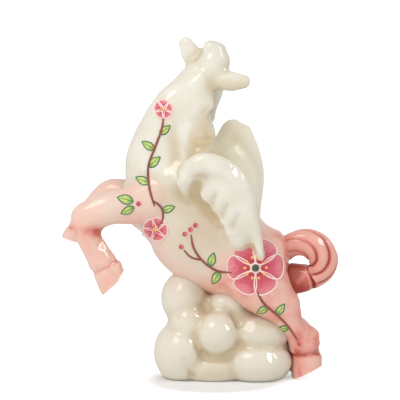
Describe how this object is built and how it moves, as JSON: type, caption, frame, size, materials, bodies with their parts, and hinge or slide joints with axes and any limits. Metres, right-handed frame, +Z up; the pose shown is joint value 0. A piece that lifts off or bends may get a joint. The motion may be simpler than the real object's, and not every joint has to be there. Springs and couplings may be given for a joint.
{
  "type": "winged horse figurine",
  "caption": "Glazed porcelain winged horse rearing on a cloud mound, head turned back, with wings, curled tail and a small crystal on the haunch.",
  "frame": {"origin": "middle of the footprint box on the shelf", "axes": "+Z up, the horse faces -X, -Y is its near (left) side"},
  "size_m": [0.1392, 0.0582, 0.1699],
  "materials": {
    "cream_glaze": "clear gloss glaze on cream porcelain",
    "blush_glaze": "coral airbrush under clear gloss glaze",
    "coral_glaze": "coral underglaze pooled dark red in the grooves",
    "cloud_glaze": "clear gloss glaze on white porcelain",
    "slip_rim": "pale trailed slip under gloss glaze",
    "green_stone": "faceted green glass stone"
  },
  "bodies": {
    "root": {"body_shell": "blush_glaze", "neck": "cream_glaze", "head": "cream_glaze", "forelock": "cream_glaze", "near_ear": "cream_glaze", "far_ear": "cream_glaze", "mane_upper_lock": "cream_glaze", "mane_lower_lock": "cream_glaze", "mane_far_lock": "cream_glaze", "near_foreleg": "blush_glaze", "far_foreleg": "blush_glaze", "near_hind_leg": "blush_glaze", "far_hind_leg": "blush_glaze", "near_wing_arm": "cream_glaze", "near_wing_feathers": "cream_glaze", "far_wing_arm": "cream_glaze", "far_wing_feathers": "cream_glaze", "tail": "coral_glaze", "cloud_base": "cloud_glaze", "cloud_column": "cloud_glaze", "cloud_crest": "cloud_glaze", "near_crystal": "green_stone", "far_crystal": "green_stone", "near_crystal_collar": "slip_rim", "far_crystal_collar": "slip_rim"}
  },
  "joints": []
}
